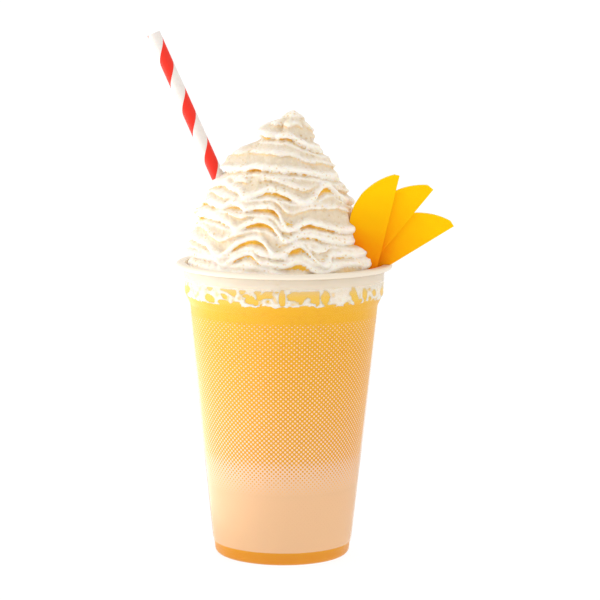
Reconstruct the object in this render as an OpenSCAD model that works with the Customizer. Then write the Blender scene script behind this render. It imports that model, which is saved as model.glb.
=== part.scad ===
// Mango smoothie in a printed plastic cup, with whipped cream, a paper straw and mango slices.
// Lengths are in millimetres. The origin is at the middle of the foot, +Z is up and -Y is the front.

/* [Cup] */
// Diameter over the rolled lip
lip_d = 98; // [80:1:118]
// Height from the foot to the top of the lip
cup_h = 134.5; // [112:0.5:162]
// Diameter of the tapered wall, drawn on down to the foot
foot_d = 62; // [51:1:75]
// Thickness of the wall
wall_t = 0.6; // [0.4:0.1:1.2]
// How far the rolled lip stands out from the band
lip_w = 3.5; // [2.5:0.1:5]
// Height of the rolled lip
lip_h = 2.3; // [1.6:0.1:3.5]
// Height of the straight band under the lip
band_h = 11.5; // [8:0.5:16]
// Height of the sloping step under the band
step_h = 5.2; // [4:0.1:8]
// How far the step takes the wall inwards
step_w = 2.4; // [1.5:0.1:4]
// Radius of the heel between the wall and the foot
heel_r = 3; // [2:0.1:5]
// How far the raised panel lies inside the foot
panel_in = 6; // [5.5:0.5:12]
// Height of the raised panel above the foot
panel_h = 1.6; // [0.8:0.1:3]

/* [Smoothie] */
// How far the drink's level lies below the top of the lip
fill_drop = 12; // [8:0.5:30]

/* [Whipped cream] */
// Height of the swirl above the lip
swirl_h = 69; // [57:1:84]
// Gap between the foot of the swirl and the inside of the lip
swirl_inset = 3; // [2:0.5:8]
// Fullness of the swirl's outline, from a cone at 1 to a dome at 3
swirl_full = 2; // [1.2:0.1:3]
// Number of turns that the piped cream makes
coil_turns = 5.5; // [3:0.5:8]
// Depth of the groove between one turn and the next
groove_d = 5.5; // [2:0.5:8]
// How far the edge of a turn hangs down over the turn below
lobe_sag = 3; // [0:0.5:4]
// Number of ruffles in one turn
ruffles = 9; // [5:1:12]
// Height of a ruffle to each side of its middle
ruffle_h = 2.2; // [0:0.1:3]
// How far the middle of the swirl stands off to the left
swirl_off = 3.5; // [-6:0.5:6]
// How far the tip leans over to the right
tip_lean = 3; // [-6:0.5:6]

/* [Straw] */
// Outer diameter of the paper tube
straw_d = 6; // [5:0.5:8]
// Thickness of the rolled paper
straw_wall = 0.45; // [0.3:0.05:0.8]
// Length of the straw
straw_l = 197; // [160:1:240]
// Length of straw below the top of the lip
straw_dip = 84.5; // [60:0.5:105]
// Lean of the straw to the left
straw_lean = 24.5; // [10:0.5:30]
// Lean of the straw to the back
straw_back = 1.6; // [0:0.1:8]
// How far left of the middle the straw crosses the top of the cup
straw_left = 13.2; // [5:0.1:25]
// How far behind the middle the straw crosses the top of the cup
straw_behind = 5; // [0:0.5:10]

/* [Mango slices] */
// Thickness of each slice
slice_t = 3.6; // [2:0.1:5]
// Gap between one slice and the next
slice_gap = 0.3; // [0.2:0.1:1]
// Straight edge of the front, middle and back slice
slice_l = [51, 54, 55]; // [42:1:68]
// Width of the front, middle and back slice
slice_w = [17.3, 15.9, 17.9]; // [13:0.5:24]
// How far each tip is cut back
slice_chop = [1, 2, 1.3]; // [0.5:0.1:3]
// Rise of each straight edge above the horizontal
slice_rise = [77, 51, 32]; // [20:1:85]
// How far each tip stands out past the lip
tip_out = [2.2, 18.6, 28.2]; // [0:0.1:40]
// Height of each tip above the lip
tip_up = [41.8, 36, 18.4]; // [10:0.1:50]
// How far the middle of the back slice lies in front of the cup's middle
back_slice_front = 7; // [0:0.5:10]

/* [Fit] */
// Gap round what stands in the drink or the cream
seat_gap = 0.1; // [0.05:0.05:0.3]

/* [Hidden] */
$fn = 96;

lip_r = lip_d / 2;
band_r = lip_r - lip_w;
mouth_r = band_r - wall_t;
band_z = cup_h - lip_h - band_h;
step_z = band_z - step_h;
taper_r = band_r - step_w;
taper_a = atan2(taper_r - foot_d / 2, step_z);
fill_z = cup_h - fill_drop;
panel_r = foot_d / 2 - panel_in;
foot_ramp = panel_h;

heel_steps = 8;
lip_steps = 12;
slice_steps = 20;
ring_sides = 72;
swirl_rows = 52;

// Swell of a turn: a soft wave at 1, and a flat band between sharp grooves near 0
lobe_swell = 0.7;
// Angle by which the ruffles step on from one turn to the next
ruffle_step = 137;
// Share of the swirl's height over which the ruffles set in
ruffle_start = 0.125;
// Radius of the swirl, in groove depths, below which the turns grow smaller
small_turns = 3;

// Middle of the heel's round, which is the same for the outside and the inside of the wall
heel_mid = [foot_d / 2 + heel_r * tan(taper_a) - heel_r / cos(taper_a), heel_r];

// Unit vector to the left of the way from p to q, which points into the cup
function inward(p, q) = let (v = (q - p) / norm(q - p)) [-v[1], v[0]];

// A corner moved inwards by d, so that both of its sides move by d
function inset_corner(a, b, c, d) =
    let (n = inward(a, b), m = inward(b, c)) b + (n + m) * d / (1 + n * m);

// Outline of the cup's wall, from its axis to the top, a distance d inside its outer face
function wall_line(d) =
    let (
        p0 = [0, panel_h],
        p1 = [panel_r - foot_ramp, panel_h],
        p2 = [panel_r, 0],
        p3 = [foot_d / 2, 0],
        p4 = [taper_r, step_z],
        p5 = [band_r, band_z],
        p6 = [band_r, cup_h]
    )
    concat(
        [p0 + [0, d], inset_corner(p0, p1, p2, d), inset_corner(p1, p2, p3, d)],
        [for (i = [0:heel_steps])
            let (a = -90 + (90 - taper_a) * i / heel_steps)
            heel_mid + (heel_r - d) * [cos(a), sin(a)]],
        [inset_corner(p3, p4, p5, d), inset_corner(p4, p5, p6, d), p6 - [d, 0]]);

// Radius inside the cup's wall at a height z in the band or above the foot's round
function inner_r(z) =
    let (line = wall_line(wall_t), n = len(line), a = line[n - 4], b = line[n - 3], c = line[n - 2])
    z > c[1] ? c[0]
    : z > b[1] ? b[0] + (c[0] - b[0]) * (z - b[1]) / (c[1] - b[1])
    : a[0] + (b[0] - a[0]) * (z - a[1]) / (b[1] - a[1]);

// Radius of the swirl's outline at a share t of its height
function swirl_r(t) = (mouth_r - swirl_inset) * (1 - pow(t, swirl_full));

// Sideways place of the swirl's middle at a share t of its height
function swirl_x(t) = tip_lean * t * t - swirl_off * sin(180 * t);

// A point of the swirl: each turn swells out, hangs over the turn below and runs in ruffles
function swirl_point(t, a) =
    let (
        lobe = pow(abs(sin(180 * (coil_turns * t + a / 360))), lobe_swell),
        size = min(1, swirl_r(t) / (small_turns * groove_d)),
        hang = lobe * size * min(1, t / ruffle_start),
        wave = ruffle_h * hang * sin(ruffles * a + ruffle_step * coil_turns * t),
        r = swirl_r(t) - groove_d * size * (1 - lobe) + wave / 2,
        z = cup_h + swirl_h * t - lobe_sag * hang + wave
    )
    [swirl_x(t) + r * cos(a), r * sin(a), z];

// A level ring of points
function ring(r, z) =
    [for (j = [0:ring_sides - 1])
        let (a = 360 * j / ring_sides)
        [r * cos(a), r * sin(a), z]];

// Two triangles for each cell between ring i and ring i + 1
function band_faces(i) =
    [for (j = [0:ring_sides - 1], k = [0, 1])
        let (a = i * ring_sides + j, b = i * ring_sides + (j + 1) % ring_sides)
        k == 0 ? [a, a + ring_sides, b] : [b, a + ring_sides, b + ring_sides]];

// Outline of a slice: a straight cut edge and the round of the fruit, grown by g on every side
function slice_outline(length, width, chop, g) =
    let (
        r = (length * length / 4 + width * width) / (2 * width),
        a0 = acos((length / 2 - chop) / r),
        arc = [for (i = [0:slice_steps])
            let (a = a0 + (180 - 2 * a0) * i / slice_steps)
            [length / 2 - (r + g) * cos(a), width - r + (r + g) * sin(a)]]
    )
    concat([[arc[0][0], -g]], arc, [[arc[slice_steps][0], -g]]);

// The straw's own frame: the origin at its lower end and +Z along it
module straw_frame() {
    translate([-straw_left, straw_behind, cup_h])
    rotate([-straw_back, -straw_lean, 0])
    translate([0, 0, -straw_dip])
    children();
}

// Slice i of the fan, grown by g on every side
module slice_body(i, g) {
    translate([lip_r + tip_out[i], (i - 2) * (slice_t + slice_gap) - back_slice_front, cup_h + tip_up[i]])
    rotate([90, 0, 0])
    linear_extrude(slice_t + 2 * g, center = true)
    rotate(180 + slice_rise[i])
    mirror([0, 1])
    polygon(slice_outline(slice_l[i], slice_w[i], slice_chop[i], g));
}

// What the slices may not enter: the lip and the band, with the seat gap round them
module lip_space() {
    depth = lip_h + band_h;
    rotate_extrude()
    translate([mouth_r - seat_gap, cup_h - depth])
    square([lip_w + wall_t + 2 * seat_gap, depth + seat_gap]);
}

module mango_slice(i) {
    color([1.0, 0.72, 0.02])
    difference() {
        slice_body(i, 0);
        lip_space();
    }
}

// Tapered wall, step, straight band and rolled lip, turned from one outline
module cup() {
    round_r = lip_h / 2;
    lip = [for (i = [0:lip_steps])
        let (a = -90 + 180 * i / lip_steps)
        [lip_r - round_r, cup_h - round_r] + round_r * [cos(a), sin(a)]];
    outer = wall_line(0);
    inner = wall_line(wall_t);
    side = [for (i = [0:len(outer) - 2]) outer[i]];
    back = [for (i = [len(inner) - 1:-1:0]) inner[i]];
    color([0.95, 0.93, 0.89])
    rotate_extrude()
    polygon(concat(side, [[band_r, cup_h - lip_h]], lip, back));
}

// The drink fills the cup to its level, runs up inside the straw and lies round the slices
module smoothie() {
    inner = wall_line(wall_t);
    low = [for (p = inner) if (p[1] < fill_z) p];
    color([0.97, 0.74, 0.24])
    difference() {
        rotate_extrude()
        polygon(concat(low, [[inner_r(fill_z), fill_z], [0, fill_z]]));
        straw_frame() difference() {
            translate([0, 0, -seat_gap]) cylinder(d = straw_d + 2 * seat_gap, h = straw_l);
            translate([0, 0, -1]) cylinder(d = straw_d - 2 * straw_wall - 2 * seat_gap, h = straw_l);
        }
        for (i = [0:2]) slice_body(i, seat_gap);
    }
}

// The cream fills the mouth of the cup from the drink up, and rises in a piped swirl
module whipped_cream() {
    brim_z = cup_h - lip_h;
    bends = [for (p = wall_line(wall_t)) if (p[1] > fill_z && p[1] < brim_z) p[1]];
    rings = concat(
        [for (z = concat([fill_z], bends, [brim_z])) ring(inner_r(z), z)],
        [for (i = [0:swirl_rows - 1])
            [for (j = [0:ring_sides - 1]) swirl_point(i / swirl_rows, 360 * j / ring_sides)]]);
    top = len(rings) * ring_sides;
    points = concat([for (r = rings, p = r) p], [[swirl_x(1), 0, cup_h + swirl_h], [0, 0, fill_z]]);
    sides = [for (i = [0:len(rings) - 2], f = band_faces(i)) f];
    ends = [for (j = [0:ring_sides - 1], k = [0, 1])
        let (n = (j + 1) % ring_sides, last = top - ring_sides)
        k == 0 ? [last + j, top, last + n] : [j, n, top + 1]];
    color([0.98, 0.95, 0.88])
    difference() {
        polyhedron(points, concat(sides, ends));
        straw_frame() cylinder(d = straw_d + 2 * seat_gap, h = straw_l);
        for (i = [0:2]) slice_body(i, seat_gap);
    }
}

// A rolled paper tube, cut square at both ends
module straw() {
    color([0.93, 0.35, 0.28])
    straw_frame() difference() {
        cylinder(d = straw_d, h = straw_l);
        translate([0, 0, -1]) cylinder(d = straw_d - 2 * straw_wall, h = straw_l + 2);
    }
}

cup();
smoothie();
whipped_cream();
straw();
mango_slice(0);  // mango_slice_front
mango_slice(1);  // mango_slice_middle
mango_slice(2);  // mango_slice_back
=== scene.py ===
# Mango smoothie in a printed plastic cup, with piped whipped cream, a paper straw and three mango slices.
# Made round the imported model, in metres: the origin is the middle of the foot and -Y is the front.
import bisect
import math
from functools import partial

import bmesh
import bpy
from mathutils import Euler, Matrix, Vector, kdtree, noise


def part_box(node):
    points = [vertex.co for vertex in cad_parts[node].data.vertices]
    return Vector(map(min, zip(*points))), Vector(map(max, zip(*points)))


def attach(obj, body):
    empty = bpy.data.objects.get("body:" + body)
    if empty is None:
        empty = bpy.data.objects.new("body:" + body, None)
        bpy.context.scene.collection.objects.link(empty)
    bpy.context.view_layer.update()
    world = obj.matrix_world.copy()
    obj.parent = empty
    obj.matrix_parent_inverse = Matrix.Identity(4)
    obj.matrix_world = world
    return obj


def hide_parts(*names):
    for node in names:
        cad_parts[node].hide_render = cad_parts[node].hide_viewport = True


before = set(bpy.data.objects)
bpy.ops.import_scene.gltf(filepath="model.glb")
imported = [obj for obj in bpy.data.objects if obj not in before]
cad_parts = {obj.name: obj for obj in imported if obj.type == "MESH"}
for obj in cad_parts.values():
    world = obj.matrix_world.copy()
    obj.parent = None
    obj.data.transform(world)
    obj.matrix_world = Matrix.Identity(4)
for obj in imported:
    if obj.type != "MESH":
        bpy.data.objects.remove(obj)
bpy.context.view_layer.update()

mm = 0.001
weldGap = 1e-6           # m, points nearer than this are one
fullTurn = 2 * math.pi
print("frame loaded:", len(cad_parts), "nodes")


def linear(hexColour):
    # sRGB hex to the linear colour that a shader works in
    parts = [int(hexColour[i:i + 2], 16) / 255 for i in (1, 3, 5)]
    return tuple(c / 12.92 if c <= 0.04045 else ((c + 0.055) / 1.055) ** 2.4 for c in parts) + (1.0,)


def grainScale(size):
    # Texture scale that draws a pattern at a size in mm
    return 1 / (size * mm)


def startMaterial(name, settings):
    # A new material, its shader with the values that are the same all over it, and its own addNode
    material = bpy.data.materials.new(name)
    material.use_nodes = True
    shader = material.node_tree.nodes["Principled BSDF"]
    for socket, value in settings.items():
        shader.inputs[socket].default_value = value
    return material, shader, partial(addNode, material)


def joinTo(source, socket):
    # Links an output, or a node's first output, to a socket
    socket.id_data.links.new(getattr(source, "outputs", [source])[0], socket)


def addNode(material, kind, settings=None, links=None):
    # Adds a node, with its settings by name, or its operation, and its incoming links by socket.
    # A colour mix has its colours at sockets 6 and 7 and their mix at output 2
    node = material.node_tree.nodes.new("ShaderNode" + kind)
    if isinstance(settings, str):
        settings = {"operation": settings}
    for name, value in (settings or {}).items():
        if isinstance(name, str) and hasattr(node, name):
            setattr(node, name, value)
        else:
            node.inputs[name].default_value = value
    for socket, source in (links or {}).items():
        joinTo(source, node.inputs[socket])
    return node


def smoothStep(low, high, value):
    t = min(1.0, max(0.0, (value - low) / (high - low)))
    return t * t * (3 - 2 * t)


def between(table, x):
    # Value at x in a table of rising (x, value...) rows, on straight lines
    i = min(max(bisect.bisect_right(table, (x, math.inf)), 1), len(table) - 1)
    a, b = table[i - 1], table[i]
    t = min(1.0, max(0.0, (x - a[0]) / (b[0] - a[0])))
    return [p + (q - p) * t for p, q in zip(a[1:], b[1:])]


def rough(x, y, z, octaves=3):
    # Soft uneven noise round 0
    return noise.fractal(Vector((x, y, z)), 1.0, 2.0, octaves)


def spinLine(bm, line, steps, closed):
    # Turns a line of (radius, height) points in mm once round the axis
    verts = [bm.verts.new((r * mm, 0, z * mm)) for r, z in line]
    pairs = list(zip(verts, verts[1:])) + ([(verts[-1], verts[0])] if closed else [])
    edges = [bm.edges.new(pair) for pair in pairs]
    bmesh.ops.spin(bm, geom=verts + edges, cent=(0, 0, 0), axis=(0, 0, 1), dvec=(0, 0, 0),
                   angle=fullTurn, steps=steps, use_merge=True)
    bmesh.ops.remove_doubles(bm, verts=bm.verts, dist=weldGap)
    bmesh.ops.delete(bm, geom=[e for e in bm.edges if e.is_wire], context="EDGES")
    bmesh.ops.recalc_face_normals(bm, faces=bm.faces)


def roundEdges(bm, width, segments, angle):
    # Rounds each edge that is sharper than the angle, by a width in mm
    sharp = [e for e in bm.edges if len(e.link_faces) == 2 and e.calc_face_angle(0) > math.radians(angle)]
    bmesh.ops.bevel(bm, geom=sharp, offset=width * mm, offset_type="OFFSET", affect="EDGES",
                    segments=segments, profile=0.5, material=-1, clamp_overlap=True)


def oneSkin(bm, voxel, layerName):
    # One closed skin round folds that run into each other, with a layer's values carried over
    tree = kdtree.KDTree(len(bm.verts))
    layer = bm.verts.layers.float[layerName]
    values = []
    for i, vert in enumerate(bm.verts):
        tree.insert(vert.co, i)
        values.append(vert[layer])
    tree.balance()
    foldedMesh = bpy.data.meshes.new("folded")
    bm.to_mesh(foldedMesh)
    bm.free()
    folded = bpy.data.objects.new("folded", foldedMesh)
    bpy.context.scene.collection.objects.link(folded)
    remesh = folded.modifiers.new("skin", "REMESH")
    remesh.mode = "VOXEL"
    remesh.voxel_size = voxel * mm
    skin = bmesh.new()
    skin.from_object(folded, bpy.context.evaluated_depsgraph_get())
    bpy.data.objects.remove(folded)
    bpy.data.meshes.remove(foldedMesh)
    layer = skin.verts.layers.float.new(layerName)
    for vert in skin.verts:
        vert[layer] = values[tree.find(vert.co)[1]]
    bmesh.ops.recalc_face_normals(skin, faces=skin.faces)
    skin.normal_update()
    return skin


def finishPiece(bm, name, material, node):
    # Makes the piece's object, which rides on the one body and stands for its CAD node
    mesh = bpy.data.meshes.new(name)
    bm.to_mesh(mesh)
    bm.free()
    mesh.materials.append(material)
    mesh.shade_smooth()
    piece = bpy.data.objects.new(name, mesh)
    bpy.context.scene.collection.objects.link(piece)
    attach(piece, "root")
    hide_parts(node)
    print("made", name, "with", sum(len(p.vertices) - 2 for p in mesh.polygons), "triangles")


# The camera looks slightly down on the cup
camera = {
    "away": 1120,       # mm in front of the cup's axis
    "height": 269.5,    # mm above the floor
    "down": 7.75,       # degrees, as the next two
    "right": 0.371,
    "roll": 0.5,
    "lens": 149.2,      # mm
    "clip": (0.05, 200),
}
cameraData = bpy.data.cameras.new("studioCamera")
cameraData.lens = camera["lens"]
cameraData.clip_start, cameraData.clip_end = camera["clip"]
cameraObject = bpy.data.objects.new("studioCamera", cameraData)
bpy.context.scene.collection.objects.link(cameraObject)
cameraObject.matrix_world = (
    Matrix.Translation((0, -camera["away"] * mm, camera["height"] * mm))
    @ Matrix.Rotation(math.radians(-camera["right"]), 4, "Z")
    @ Matrix.Rotation(math.radians(90 - camera["down"]), 4, "X")
    @ Matrix.Rotation(math.radians(camera["roll"]), 4, "Z"))
bpy.context.scene.camera = cameraObject
bpy.context.scene.view_settings.view_transform = "Standard"

# A pale floor that runs into an even pale sky, a key light from the left and a weak fill from the right.
# Lengths are in m and powers in W
studio = {
    "floorSize": 60,
    "floorColour": "#5c5b5a",
    "floorGlow": 0.92,
    "skyForCamera": 1.1,
    "skyForObject": 0.94,
    "lightColour": "#fffdf8",
    "aimHeight": 0.13,
    "keyFrom": (-1.25, 0.0, 0.5),
    "keySize": 0.8,
    "keyPower": 7.1,
    "fillFrom": (0.85, -0.8, 0.45),
    "fillSize": 0.8,
    "fillPower": 1.05,
    "lowFrom": (-0.365, 0.08, 0.003),   # a light table at the cup's left
    "lowSize": (0.61, 0.7),
    "lowPower": 1.55,
}
bm = bmesh.new()
bmesh.ops.create_grid(bm, x_segments=1, y_segments=1, size=studio["floorSize"])
floorMesh = bpy.data.meshes.new("paleFloor")
bm.to_mesh(floorMesh)
bm.free()
floor = bpy.data.objects.new("paleFloor", floorMesh)
bpy.context.scene.collection.objects.link(floor)
floorPaper = startMaterial("matt white paper sweep", {
    "Roughness": 0.9, "Specular IOR Level": 0.1, "Base Color": linear(studio["floorColour"]),
    "Emission Color": (1, 1, 1, 1), "Emission Strength": studio["floorGlow"]})[0]
floorMesh.materials.append(floorPaper)

world = bpy.data.worlds.new("studioWorld")
world.use_nodes = True
bpy.context.scene.world = world
sky = world.node_tree.nodes["Background"]
sky.inputs["Color"].default_value = (1, 1, 1, 1)
path = addNode(world, "LightPath")
skyRange = addNode(world, "MapRange", {"To Min": studio["skyForObject"], "To Max": studio["skyForCamera"]},
                   {"Value": path.outputs["Is Camera Ray"]})
joinTo(skyRange, sky.inputs["Strength"])

for name in ("key", "fill"):
    boxData = bpy.data.lights.new(name + "Softbox", "AREA")
    boxData.energy = studio[name + "Power"]
    boxData.size = studio[name + "Size"]
    boxData.color = linear(studio["lightColour"])[:3]
    box = bpy.data.objects.new(name + "Softbox", boxData)
    bpy.context.scene.collection.objects.link(box)
    box.location = studio[name + "From"]
    box.rotation_mode = "QUATERNION"
    box.rotation_quaternion = (Vector((0, 0, studio["aimHeight"])) - box.location).to_track_quat("-Z", "Y")
lowData = bpy.data.lights.new("lowSoftbox", "AREA")
lowData.energy = studio["lowPower"]
lowData.shape = "RECTANGLE"
lowData.size, lowData.size_y = studio["lowSize"]
low = bpy.data.objects.new("lowSoftbox", lowData)
bpy.context.scene.collection.objects.link(low)
low.location = studio["lowFrom"]
low.rotation_euler = (math.pi, 0, 0)
print("studio ready")

# The cup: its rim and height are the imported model's, and all its lengths are in mm
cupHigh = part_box("cup")[1] / mm
cup = {
    "lipRadius": cupHigh.x,
    "height": cupHigh.z,
    "wall": 0.6,
    "lipWidth": 3.5,
    "lipHeight": 2.3,
    "lipSteps": 20,
    "bandHeight": 11.5,      # the straight band under the lip
    "stepHeight": 5.2,
    "stepWidth": 2.4,
    "footRadius": 31,
    "heelRadius": 3,
    "heelSteps": 8,
    "panelIn": 6,            # the raised panel's distance inside the foot
    "panelHeight": 1.6,
    "sides": 192,
    "rounding": (0.45, 3, 13),   # width, segments, least angle in degrees
    "dotColumns": 112,
    "dotPitch": 2.03,        # between two rows that line up
    "dotSoft": 0.05,         # half width of a dot's edge, in the waves that draw it
    "printTop": 111,         # where the first small dots show
    "dotMiddle": 50,         # below this the dots run together
    "printSolid": 33,        # where they have run together
    "printFoot": 6.7,
    "printMargins": (0.6, 0.1),     # over its top, and each side of its foot
    "waveLimits": (-1.0, 0.16, 0.68),   # how high the waves stand where a dot ends: solid, middle, top
    "seamAngle": 187,        # degrees, where the print leaves a gap
    "seamWidth": 2.4,
    "plasticColour": "#f1e5d2",
    "inkColour": "#fddbb8",
    "bareHaze": 0.02,
    "bandHaze": 0.42,
    "hazeRise": (2.5, 9),    # over the band's foot
    "lipHaze": 0.92,
    "lipMargin": 0.2,
    "inkCover": 0.9,         # in the dots
    "solidCover": 0.56,      # where they have run together
}
bandRadius = cup["lipRadius"] - cup["lipWidth"]
mouthRadius = bandRadius - cup["wall"]
brimHeight = cup["height"] - cup["lipHeight"]
bandFoot = brimHeight - cup["bandHeight"]
stepFoot = bandFoot - cup["stepHeight"]
taperTop = bandRadius - cup["stepWidth"]


def leftOf(p, q):
    # Unit vector to the left of the way from p to q, which points into the cup
    way = (q - p).normalized()
    return Vector((-way.y, way.x))


def insetCorner(a, b, c, depth):
    # Where corner b lies once both its sides have moved in by a depth
    n, m = leftOf(a, b), leftOf(b, c)
    return b + (n + m) * depth / (1 + n.dot(m))


def wallLine(depth):
    # Outline of the wall from the axis to the top, a depth inside its outer face
    panel = cup["footRadius"] - cup["panelIn"]
    corners = [Vector(p) for p in (
        (0, cup["panelHeight"]), (panel - cup["panelHeight"], cup["panelHeight"]), (panel, 0),
        (cup["footRadius"], 0), (taperTop, stepFoot), (bandRadius, bandFoot), (bandRadius, cup["height"]))]
    inset = [insetCorner(*corners[i - 1:i + 2], depth) for i in range(1, 6)]
    taper = math.atan2(taperTop - cup["footRadius"], stepFoot)
    heel = Vector((cup["footRadius"] + cup["heelRadius"] * (math.tan(taper) - 1 / math.cos(taper)),
                   cup["heelRadius"]))
    turns = [math.radians(-90) + (math.radians(90) - taper) * i / cup["heelSteps"]
             for i in range(cup["heelSteps"] + 1)]
    heelArc = [heel + (cup["heelRadius"] - depth) * Vector((math.cos(a), math.sin(a))) for a in turns]
    start = corners[0] + Vector((0, depth))
    return [start, inset[0], inset[1]] + heelArc + [inset[3], inset[4], corners[6] - Vector((depth, 0))]


innerTable = [(p.y, p.x) for p in wallLine(cup["wall"])[3 + cup["heelSteps"]:]]


def innerRadius(z):
    # Radius inside the wall at a height above the heel
    return between(innerTable, z)[0]


lipRound = cup["lipHeight"] / 2
lipMiddle = Vector((cup["lipRadius"] - lipRound, cup["height"] - lipRound))
lipTurns = [math.radians(180 * i / cup["lipSteps"] - 90) for i in range(cup["lipSteps"] + 1)]
lipArc = [lipMiddle + lipRound * Vector((math.cos(a), math.sin(a))) for a in lipTurns]
outline = (wallLine(0)[:-1] + [Vector((bandRadius, brimHeight))] + lipArc
           + list(reversed(wallLine(cup["wall"]))))
bm = bmesh.new()
spinLine(bm, [tuple(p) for p in outline], cup["sides"], True)
roundEdges(bm, *cup["rounding"])

# Polypropylene, moulded and screen-printed: milky, so the drink's colour comes through. The print whitens it
cupPlastic, cupShader, plasticNode = startMaterial("injection-moulded polypropylene, screen-printed white", {
    "Roughness": 0.32, "IOR": 1.49, "Specular IOR Level": 0.2})
cupPlace = plasticNode("TexCoord").outputs["Object"]
cupAxes = plasticNode("SeparateXYZ", links={0: cupPlace})
cupUp = cupAxes.outputs["Z"]
cupAngle = plasticNode("Math", "ARCTAN2", {0: cupAxes.outputs["Y"], 1: cupAxes.outputs["X"]})
aroundTurn = plasticNode("Math", {"operation": "MULTIPLY", 1: cup["dotColumns"]}, {0: cupAngle})
aroundWave = plasticNode("Math", "COSINE", {0: aroundTurn})
upTurn = plasticNode("Math", {"operation": "MULTIPLY", 1: fullTurn * grainScale(cup["dotPitch"])},
                     {0: cupUp})
upWave = plasticNode("Math", "COSINE", {0: upTurn})
dots = plasticNode("Math", "MULTIPLY", {0: aroundWave, 1: upWave})
# A dot is where the waves stand over a limit that rises with the height
solidLimit, middleLimit, topLimit = cup["waveLimits"]
lowLimit = plasticNode("MapRange", {
    "From Min": cup["printSolid"] * mm, "From Max": cup["dotMiddle"] * mm, "To Min": solidLimit,
    "To Max": middleLimit}, {"Value": cupUp})
highLimit = plasticNode("MapRange", {
    "From Min": cup["dotMiddle"] * mm, "From Max": cup["printTop"] * mm, "To Min": 0,
    "To Max": topLimit - middleLimit}, {"Value": cupUp})
dotLimit = plasticNode("Math", "ADD", {0: lowLimit, 1: highLimit})
dotRise = plasticNode("Math", "SUBTRACT", {0: dots, 1: dotLimit})
dotEdge = plasticNode("MapRange", {"From Min": -cup["dotSoft"], "From Max": cup["dotSoft"]},
                      {"Value": dotRise})
topMargin, footMargin = cup["printMargins"]
belowTop = plasticNode("Math", {"operation": "LESS_THAN", 1: (cup["printTop"] + topMargin) * mm},
                       {0: cupUp})
aboveFoot = plasticNode("MapRange", {
    "From Min": (cup["printFoot"] - footMargin) * mm, "From Max": (cup["printFoot"] + footMargin) * mm},
    {"Value": cupUp})
seam = math.radians(cup["seamAngle"])
fromSeam = plasticNode("VectorMath", {"operation": "DOT_PRODUCT", 1: (-math.sin(seam), math.cos(seam), 0)},
                       {0: cupPlace})
seamSide = plasticNode("VectorMath", {"operation": "DOT_PRODUCT", 1: (math.cos(seam), math.sin(seam), 0)},
                       {0: cupPlace})
seamOff = plasticNode("Math", "ABSOLUTE", {0: fromSeam.outputs["Value"]})
seamFar = plasticNode("Math", {"operation": "GREATER_THAN", 1: cup["seamWidth"] / 2 * mm}, {0: seamOff})
seamBack = plasticNode("Math", {"operation": "LESS_THAN", 1: 0}, {0: seamSide.outputs["Value"]})
printed = plasticNode("Math", "MAXIMUM", {0: seamFar, 1: seamBack})
for limit in (dotEdge, belowTop, aboveFoot):
    printed = plasticNode("Math", "MULTIPLY", {0: printed, 1: limit})
cupTint = plasticNode("Mix", {
    "data_type": "RGBA", 6: linear(cup["plasticColour"]), 7: linear(cup["inkColour"])}, {0: printed})
joinTo(cupTint.outputs[2], cupShader.inputs["Base Color"])
# The wall gets milkier towards the thick lip
hazeFrom, hazeTo = cup["hazeRise"]
haze = plasticNode("MapRange", {
    "interpolation_type": "SMOOTHSTEP", "From Min": (bandFoot + hazeFrom) * mm,
    "From Max": (bandFoot + hazeTo) * mm, "To Min": cup["bareHaze"], "To Max": cup["bandHaze"]},
    {"Value": cupUp})
lipShare = plasticNode("MapRange", {
    "From Min": (brimHeight - cup["lipMargin"]) * mm, "From Max": (brimHeight + cup["lipMargin"]) * mm,
    "To Min": 0, "To Max": cup["lipHaze"]}, {"Value": cupUp})
inkCover = plasticNode("MapRange", {
    "From Min": cup["printSolid"] * mm, "From Max": cup["dotMiddle"] * mm, "To Min": cup["solidCover"],
    "To Max": cup["inkCover"]}, {"Value": cupUp})
inkShare = plasticNode("Math", "MULTIPLY", {0: printed, 1: inkCover})
cover = haze
for share in (lipShare, inkShare):
    cover = plasticNode("Math", "MAXIMUM", {0: cover, 1: share})
joinTo(cover, cupShader.inputs["Alpha"])
finishPiece(bm, "printedCup", cupPlastic, "cup")

# The drink, which reaches a little into the wall, and stands higher at the wall than in the middle
smoothie = {
    "intoWall": 0.08,     # mm, so that no air shows at the wall
    "wallTop": 128,       # mm, where it stands in the gaps of the cream
    "level": 119.5,
    "ringWidth": 4,
    "ringSlope": (0.5, 1),   # mm down on its top, and mm in on its side
    "rounding": (0.4, 2, 13),
    "colour": "#ebae0a",
    "lowColour": "#e8a900",
    "highRange": (98, 114),   # mm, where the low colour turns to the other
    "footColour": "#de8d00",
    "footRange": (4, 10),
    "filmColour": "#f0c24e",   # where cream has thinned into it on the wall
    "filmRange": (118, 123),
    "speckleColour": "#e09600",
    "pulpSize": 2.5,
}
drinkLine = [p for p in wallLine(cup["wall"] - smoothie["intoWall"]) if p.y < smoothie["wallTop"]]
drinkTop = mouthRadius + smoothie["intoWall"]
ringInside = drinkTop - smoothie["ringWidth"]
ringDown, ringIn = smoothie["ringSlope"]
drinkLine += [Vector(p) for p in (
    (drinkTop, smoothie["wallTop"]), (ringInside, smoothie["wallTop"] - ringDown),
    (ringInside - ringIn, smoothie["level"]), (0, smoothie["level"]))]
bm = bmesh.new()
spinLine(bm, [tuple(p) for p in drinkLine], cup["sides"], False)
roundEdges(bm, *smoothie["rounding"])

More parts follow.
